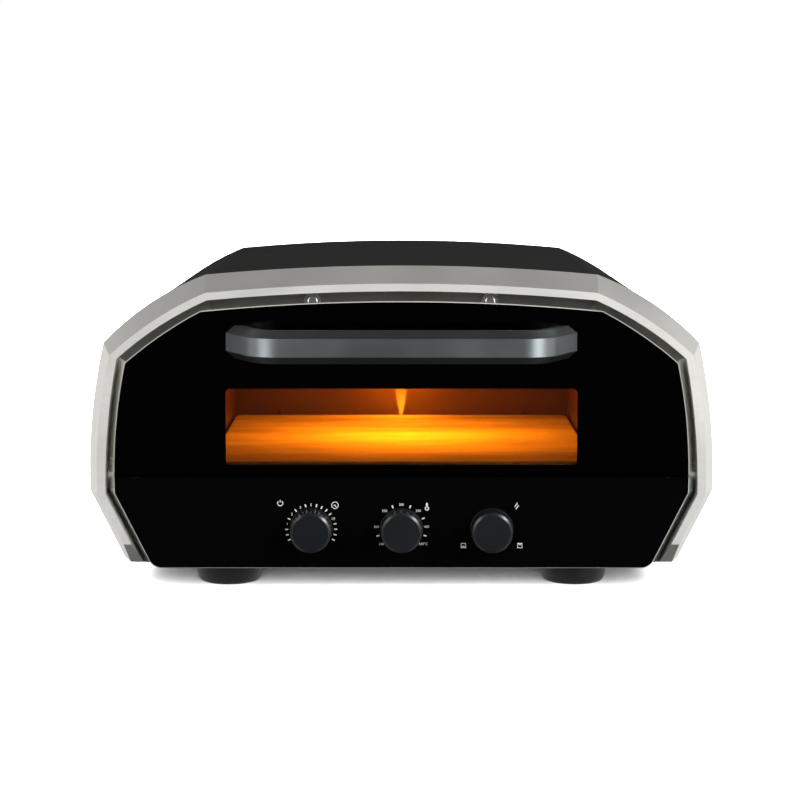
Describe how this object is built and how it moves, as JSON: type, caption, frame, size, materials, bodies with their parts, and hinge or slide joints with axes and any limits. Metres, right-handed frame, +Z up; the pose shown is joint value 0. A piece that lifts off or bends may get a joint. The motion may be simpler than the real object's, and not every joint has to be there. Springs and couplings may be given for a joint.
{
  "type": "countertop pizza oven",
  "caption": "Countertop electric pizza oven: arched metal front, black glass drop-down door with a window and bar handle, rotary dials below, stone deck inside.",
  "frame": {"origin": "centre of the footprint's bounding box on the table plane, under the feet", "axes": "+Z up, the door and dials face -Y, +X is to the right when seen from the front"},
  "size_m": [0.5282, 0.617, 0.2759],
  "materials": {
    "frame_silver": "satin, light warm grey",
    "polished_plate": "polished",
    "screw_steel": "bright",
    "black_coat": "satin powder coat",
    "tinted_glass": "clear",
    "panel_glass": "black printed, glossy",
    "black_print": "black enamel print",
    "door_steel": "dark enamel",
    "handle_grey": "satin blue-grey anodised",
    "knob_grey": "soft satin",
    "shaft_steel": "satin",
    "zinc_steel": "zinc plated",
    "module_black": "matte",
    "foot_rubber": "matte",
    "cavity_steel": "heat-tinted",
    "stone_cream": "matte cordierite",
    "element_metal": "glowing when hot",
    "white_ceramic": "matte",
    "insulation_wool": "matte wool",
    "gasket_rope": "woven glass fibre",
    "board_green": "satin",
    "component_grey": "matte",
    "pin_brass": "satin"
  },
  "bodies": {
    "chassis": {"balance_module": "module_black", "base_pan": "black_coat", "board_components": "component_grey", "board_posts": "zinc_steel", "bottom_heating_element": "element_metal", "cavity_ceiling": "cavity_steel", "cavity_floor": "cavity_steel", "cavity_rear": "cavity_steel", "cavity_sides": "cavity_steel", "cavity_studs": "cavity_steel", "chassis_rails": "zinc_steel", "control_board": "board_green", "control_bracket": "black_coat", "control_glass": "panel_glass", "door_gasket": "gasket_rope", "door_surround_lower": "polished_plate", "door_surround_upper": "polished_plate", "element_brackets": "cavity_steel", "element_terminals": "white_ceramic", "fan_housing": "module_black", "fan_motor": "component_grey", "feet": "foot_rubber", "foot_screws": "zinc_steel", "front_bulkhead": "zinc_steel", "front_frame": "frame_silver", "hinge_brackets": "zinc_steel", "housing_screws": "screw_steel", "inlet_pins": "pin_brass", "inner_casing": "zinc_steel", "inner_casing_rear": "zinc_steel", "insulation_bottom": "insulation_wool", "insulation_rear": "insulation_wool", "insulation_wrap": "insulation_wool", "pizza_stone": "stone_cream", "power_inlet": "module_black", "rear_cover": "black_coat", "stone_rails": "cavity_steel", "surround_screws": "screw_steel", "temperature_module": "module_black", "temperature_probe": "shaft_steel", "timer_module": "module_black", "top_heating_element": "element_metal", "top_shell": "black_coat", "wall_bumpers": "foot_rubber"},
    "door": {"door_outer_glass": "tinted_glass", "door_black_print": "black_print", "door_frame": "door_steel", "door_window_tunnel": "door_steel", "door_middle_glass": "tinted_glass", "door_inner_glass": "tinted_glass", "door_hinge_pins": "zinc_steel", "handle_bar": "handle_grey", "handle_screws": "zinc_steel"},
    "timer_dial": {"timer_knob": "knob_grey", "timer_shaft": "shaft_steel"},
    "temperature_dial": {"temperature_knob": "knob_grey", "temperature_shaft": "shaft_steel"},
    "balance_dial": {"balance_knob": "knob_grey", "balance_shaft": "shaft_steel"},
    "fan_rotor": {"fan_impeller": "module_black"}
  },
  "joints": [
    {"name": "door_hinge", "type": "hinge", "parent": "chassis", "child": "door", "pos_m": [0, -0.243, 0.1093], "axis": [1, 0, 0], "range_deg": [0, 90]},
    {"name": "timer_turn", "type": "hinge", "parent": "chassis", "child": "timer_dial", "pos_m": [-0.0753, -0.264, 0.0563], "axis": [0, 1, 0], "range_deg": [0, 232]},
    {"name": "temperature_turn", "type": "hinge", "parent": "chassis", "child": "temperature_dial", "pos_m": [0, -0.264, 0.0563], "axis": [0, 1, 0], "range_deg": [0, 253]},
    {"name": "balance_turn", "type": "hinge", "parent": "chassis", "child": "balance_dial", "pos_m": [0.0753, -0.264, 0.0563], "axis": [0, 1, 0], "range_deg": [-120, 120]},
    {"name": "fan_spin", "type": "hinge", "parent": "chassis", "child": "fan_rotor", "pos_m": [0.07, 0.271, 0.1368], "axis": [0, 1, 0], "continuous": true}
  ]
}
